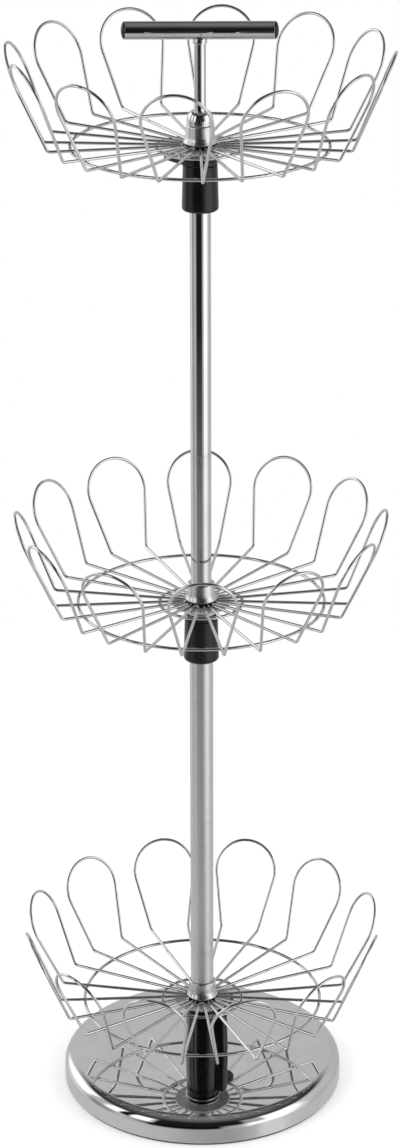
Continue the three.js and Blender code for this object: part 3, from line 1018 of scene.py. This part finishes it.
# %% Ferrule
ferrule_foot = low("handle_ferrule")
ferrule_radius = radius_of("handle_ferrule")
ferrule_neck = 0.0062
ferrule_rim = 0.001
saddle_radius = bar_radius + gap
ferrule_outline = [
    (rod_radius + gap, ferrule_foot, 0),
    (ferrule_radius, ferrule_foot, EDGE_ROUND),
    *dome(ferrule_radius, ferrule_neck, ferrule_foot + ferrule_rim, bar_height - saddle_radius),
    (ferrule_neck, bar_height, 0),
    (rod_radius + gap, bar_height, 0),
]
ferrule = spin("handle_collar", ferrule_outline)
for vertex in ferrule.vertices:
    under_bar = bar_height - math.sqrt(saddle_radius**2 - vertex.co.y**2)
    vertex.co.z = min(vertex.co.z, under_bar)
add_piece("handle_collar", ferrule, "handle_ferrule")
print("ferrule points:", len(ferrule.vertices))

# %% [markdown]
# ## Pieces that stay hidden
#
# The ballast, the bolt, the tube's plug and the rod's adapter are inside others. Their CAD shapes
# are good enough, so they only get their finishes.

# %% Finish the hidden pieces
for node, thing in nodes.items():
    if not thing.hide_render:
        thing.data.materials.clear()
        thing.data.materials.append(finishes[slot_of[node]])
        print("CAD shape kept:", node)

# %% [markdown]
# ## The room that the metal reflects
#
# Chrome has no look of its own, only what it reflects. In plain white light a chrome wire vanishes
# against a white background. A photographer puts dark and pale cards round such an object, just out
# of view, and each card becomes a stripe along every tube. Cards could be modelled one by one, but
# what a small object reflects depends almost only on the direction. So one very large shell stands
# round the tower, seen by reflections alone, and its brightness is given by bearing and elevation.

# %% Brightness by direction
SHELL_RADIUS = 14
SHELL_HEIGHT = 0.5
# Round the room, by degrees from the front (-Y), with plus towards +X.
ROOM_PANELS = (
    (-180, 0.54), (-150, 0.56), (-125, 0.75), (-110, 0.72), (-95, 0.24), (-80, 0.32), (-66, 0.56),
    (-54, 0.34), (-46, 0.22), (-42, 0.003), (12, 0.003), (18, 0.32), (31, 0.5), (38, 1.25), (70, 1.25),
    (82, 0.8), (98, 0.5), (120, 0.5), (148, 0.5), (180, 0.54),
)
# Above the horizon the panels are brighter, with dark gaps between them. Flat and rounded tops
# reflect them.
UPPER_SHARE = ((-90, 0.0), (-4, 0.0), (6, 1.0), (90, 1.0))
UPPER_PANELS = (
    (-180, 0.54), (-150, 0.54), (-140, 1.3), (-104, 1.3), (-98, 0.5), (-86, 0.5), (-80, 1.3),
    (-70, 1.3), (-67, 0.01), (-60, 0.01), (-57, 1.3), (-44, 1.3), (-37, 0.012), (30, 0.012),
    (35, 0.35), (48, 0.45), (52, 1.3), (80, 1.3), (90, 0.6), (148, 0.5), (180, 0.54),
)
# From straight down to the horizon: how much of the floor's grey shows, and how grey it is there.
FLOOR_SHARE = ((-90, 1.0), (-31, 1.0), (-23, 0.45), (-17, 0.03), (-12, 0.0), (90, 0.0))
FLOOR_PANELS = ((-90, 0.42), (-62, 0.42), (-50, 0.56), (-30, 0.5), (90, 0.5))
# The upright rim of the base reflects a narrow belt of floor. It is darker in front and bright on
# the right.
RIM_SHARE = ((-90, 0.0), (-42, 0.0), (-36, 1.0), (-29.5, 1.0), (-27, 0.0), (90, 0.0))
RIM_PANELS = (
    (-180, 0.54), (-97, 0.56), (-65, 0.55), (-49, 0.53), (-27, 0.49), (-12, 0.4), (0, 0.37), (20, 0.35),
    (33, 0.4), (45, 0.5), (52, 0.7), (68, 0.72), (80, 0.58), (94, 0.54), (180, 0.54),
)
# The ceiling takes over upwards. It is nearly black where it begins and dark grey overhead.
CEILING_SHARE = ((-90, 0.0), (31, 0.0), (41, 1.0), (90, 1.0))
CEILING_PANELS = ((-90, 0.02), (41, 0.02), (54, 0.08), (75, 0.17), (90, 0.19))


def ramp(tree, value, panels):
    """A brightness that follows a list of (value, brightness) stops."""
    first, last = panels[0][0], panels[-1][0]
    colours = tree.nodes.new("ShaderNodeValToRGB")
    stops = colours.color_ramp.elements
    stops[0].color = (*[panels[0][1]] * 3, 1)
    stops[1].color = (*[panels[-1][1]] * 3, 1)
    for place, level in panels[1:-1]:
        stop = stops.new((place - first) / (last - first))
        stop.color = (level, level, level, 1)
    tree.links.new(spread(tree, value, 0, 1, first, last), colours.inputs["Fac"])
    return colours.outputs["Color"]


def blend(tree, share, first, second):
    """Goes from the first colour to the second as the share rises."""
    mix = tree.nodes.new("ShaderNodeMix")
    mix.data_type = "RGBA"
    tree.links.new(share, mix.inputs["Factor"])
    tree.links.new(first, mix.inputs["A"])
    tree.links.new(second, mix.inputs["B"])
    return mix.outputs["Result"]


def angle_of(tree, rise, run):
    """The angle of a slope in degrees, from its rise and its run."""
    angle = tree.nodes.new("ShaderNodeMath")
    angle.operation = "ARCTAN2"
    degrees = tree.nodes.new("ShaderNodeMath")
    degrees.operation = "DEGREES"
    tree.links.new(rise, angle.inputs[0])
    tree.links.new(run, angle.inputs[1])
    tree.links.new(angle.outputs["Value"], degrees.inputs[0])
    return degrees.outputs["Value"]


# %% Reflected shell
SHELL_SIDES = 96

material = bpy.data.materials.new("room_panels")
material.use_nodes = True
tree = material.node_tree
tree.nodes.clear()
place = tree.nodes.new("ShaderNodeTexCoord")
split = tree.nodes.new("ShaderNodeSeparateXYZ")
tree.links.new(place.outputs["Object"], split.inputs["Vector"])
frontward = tree.nodes.new("ShaderNodeMath")
frontward.operation = "MULTIPLY"
frontward.inputs[1].default_value = -1
tree.links.new(split.outputs["Y"], frontward.inputs[0])
level_place = tree.nodes.new("ShaderNodeVectorMath")
level_place.operation = "MULTIPLY"
level_place.inputs[1].default_value = (1, 1, 0)
tree.links.new(place.outputs["Object"], level_place.inputs[0])
level_distance = tree.nodes.new("ShaderNodeVectorMath")
level_distance.operation = "LENGTH"
tree.links.new(level_place.outputs["Vector"], level_distance.inputs[0])
bearing = angle_of(tree, split.outputs["X"], frontward.outputs["Value"])
elevation = angle_of(tree, split.outputs["Z"], level_distance.outputs["Value"])
room = ramp(tree, bearing, ROOM_PANELS)
room = blend(tree, ramp(tree, elevation, UPPER_SHARE), room, ramp(tree, bearing, UPPER_PANELS))
room = blend(tree, ramp(tree, elevation, CEILING_SHARE), room, ramp(tree, elevation, CEILING_PANELS))
room = blend(tree, ramp(tree, elevation, FLOOR_SHARE), room, ramp(tree, elevation, FLOOR_PANELS))
room = blend(tree, ramp(tree, elevation, RIM_SHARE), room, ramp(tree, bearing, RIM_PANELS))
glow = tree.nodes.new("ShaderNodeEmission")
tree.links.new(room, glow.inputs["Color"])
out = tree.nodes.new("ShaderNodeOutputMaterial")
tree.links.new(glow.outputs["Emission"], out.inputs["Surface"])

shape = bmesh.new()
bmesh.ops.create_uvsphere(
    shape,
    u_segments=SHELL_SIDES,
    v_segments=SHELL_SIDES // 2,
    radius=SHELL_RADIUS,
)
shell = bpy.data.objects.new("studio_shell", finish_mesh(shape, "studio_shell"))
shell.location.z = SHELL_HEIGHT
shell.data.materials.append(material)
bpy.context.scene.collection.objects.link(shell)
shell.visible_camera = False
shell.visible_diffuse = False
shell.visible_shadow = False
shell.visible_transmission = False
print("reflected shell:", SHELL_RADIUS, "m")

# %% [markdown]
# ## Floor, background and lamps
#
# The floor is a pale disc that fades out towards its edge, so no horizon shows. To the camera it
# glows a little, just enough to be white where no shadow falls. Reflections look past it at the
# shell. The world behind is white to the camera and to reflections, and gives a soft plain light to
# everything else. Two large soft lamps add direction to the light.

# %% Floor
FLOOR_RADIUS = 1.15
FLOOR_FADE_START = 0.55
FLOOR_DROP = 0.0002
FLOOR_COLOUR = 0.8
FLOOR_ROUGHNESS = 0.9
FLOOR_GLOW = 0.32
FLOOR_SIDES = 96

shape = bmesh.new()
bmesh.ops.create_circle(
    shape,
    cap_ends=True,
    segments=FLOOR_SIDES,
    radius=FLOOR_RADIUS,
    matrix=Matrix.Translation((0, 0, -FLOOR_DROP)),
)
floor = bpy.data.objects.new("floor", finish_mesh(shape, "floor"))
bpy.context.scene.collection.objects.link(floor)
material = bpy.data.materials.new("pale_floor")
material.use_nodes = True
tree = material.node_tree
shader = tree.nodes["Principled BSDF"]
shader.inputs["Base Color"].default_value = (FLOOR_COLOUR, FLOOR_COLOUR, FLOOR_COLOUR, 1)
shader.inputs["Roughness"].default_value = FLOOR_ROUGHNESS
shader.inputs["Specular IOR Level"].default_value = 0.0
shader.inputs["Emission Color"].default_value = (1, 1, 1, 1)
rays = tree.nodes.new("ShaderNodeLightPath")
glow_strength = spread(tree, rays.outputs["Is Camera Ray"], 0, FLOOR_GLOW, 0, 1)
tree.links.new(glow_strength, shader.inputs["Emission Strength"])
place = tree.nodes.new("ShaderNodeTexCoord")
distance = tree.nodes.new("ShaderNodeVectorMath")
distance.operation = "LENGTH"
tree.links.new(place.outputs["Object"], distance.inputs[0])
clear = tree.nodes.new("ShaderNodeBsdfTransparent")
fade = tree.nodes.new("ShaderNodeMixShader")
faded = spread(tree, distance.outputs["Value"], 0, 1, FLOOR_FADE_START, FLOOR_RADIUS)
tree.links.new(faded, fade.inputs["Fac"])
tree.links.new(shader.outputs["BSDF"], fade.inputs[1])
tree.links.new(clear.outputs["BSDF"], fade.inputs[2])
tree.links.new(fade.outputs["Shader"], tree.nodes["Material Output"].inputs["Surface"])
floor.data.materials.append(material)
floor.visible_glossy = False
print("floor radius:", FLOOR_RADIUS)

# %% World
WORLD_LIGHT = 0.8

world = bpy.data.worlds.new("studio")
bpy.context.scene.world = world
world.use_nodes = True
tree = world.node_tree
tree.nodes.clear()
rays = tree.nodes.new("ShaderNodeLightPath")
seen = tree.nodes.new("ShaderNodeMath")
seen.operation = "MAXIMUM"
tree.links.new(rays.outputs["Is Camera Ray"], seen.inputs[0])
tree.links.new(rays.outputs["Is Glossy Ray"], seen.inputs[1])
seen_too = tree.nodes.new("ShaderNodeMath")
seen_too.operation = "MAXIMUM"
tree.links.new(seen.outputs["Value"], seen_too.inputs[0])
tree.links.new(rays.outputs["Is Transmission Ray"], seen_too.inputs[1])
strength = tree.nodes.new("ShaderNodeMapRange")
strength.inputs["To Min"].default_value = WORLD_LIGHT
strength.inputs["To Max"].default_value = 1.0
tree.links.new(seen_too.outputs["Value"], strength.inputs["Value"])
sky = tree.nodes.new("ShaderNodeBackground")
sky.inputs["Color"].default_value = (1, 1, 1, 1)
tree.links.new(strength.outputs["Result"], sky.inputs["Strength"])
out = tree.nodes.new("ShaderNodeOutputWorld")
tree.links.new(sky.outputs["Background"], out.inputs["Surface"])
print("world light:", WORLD_LIGHT)

# %% Lamps
# Each lamp has a place, the side of its square in metres, and a power in watts.
LAMPS = {
    "left_lamp": ((-1.5, -1.4, 2.0), 1.0, 14),
    "right_lamp": ((1.7, -0.9, 1.8), 1.0, 10),
}
LAMP_TARGET = Vector((0, 0, 0.5))

for name, (place, size, power) in LAMPS.items():
    light = bpy.data.lights.new(name, "AREA")
    light.shape = "SQUARE"
    light.size = size
    light.energy = power
    lamp = bpy.data.objects.new(name, light)
    lamp.location = place
    lamp.rotation_euler = (LAMP_TARGET - Vector(place)).to_track_quat("-Z", "Y").to_euler()
    lamp.visible_camera = False
    lamp.visible_glossy = False
    bpy.context.scene.collection.objects.link(lamp)
    print(name, "power:", power)

# %% [markdown]
# ## Camera
#
# The photograph looks down from in front. A camera fitted to the loop tops, the elbows, the rings
# and the base gives its place and lens. It stands about 2.85 m in front and 1.7 m up, and its long
# lens keeps the perspective weak.

# %% Camera
PICTURE_WIDTH, PICTURE_HEIGHT = 400, 1148
CAMERA_DISTANCE = 2.8482
CAMERA_HEIGHT = 1.6898
CAMERA_PITCH = 0.3869  # radians below the horizon
FOCAL_PIXELS = 3318.84
CENTRE_X, CENTRE_Y = 201.2, 576.1  # the pixel that the lens points at
CAMERA_ROLL = -0.0025
SENSOR_HEIGHT = 36  # millimetres

view = bpy.data.cameras.new("camera")
view.sensor_fit = "VERTICAL"
view.sensor_height = SENSOR_HEIGHT
view.lens = FOCAL_PIXELS / PICTURE_HEIGHT * SENSOR_HEIGHT
view.shift_x = (PICTURE_WIDTH / 2 - CENTRE_X) / PICTURE_HEIGHT
view.shift_y = (CENTRE_Y - PICTURE_HEIGHT / 2) / PICTURE_HEIGHT
camera = bpy.data.objects.new("camera", view)
upright = Matrix.Rotation(math.pi / 2 - CAMERA_PITCH, 4, "X") @ Matrix.Rotation(CAMERA_ROLL, 4, "Z")
camera.matrix_world = Matrix.Translation((0, -CAMERA_DISTANCE, CAMERA_HEIGHT)) @ upright
bpy.context.scene.collection.objects.link(camera)
bpy.context.scene.camera = camera
print("lens:", round(view.lens, 1), "mm")

# %% [markdown]
# ## View transform
#
# The picture uses the Standard view transform. The dressed model must stay inside the
# CAD box.

# %% View transform
bpy.context.scene.view_settings.view_transform = "Standard"
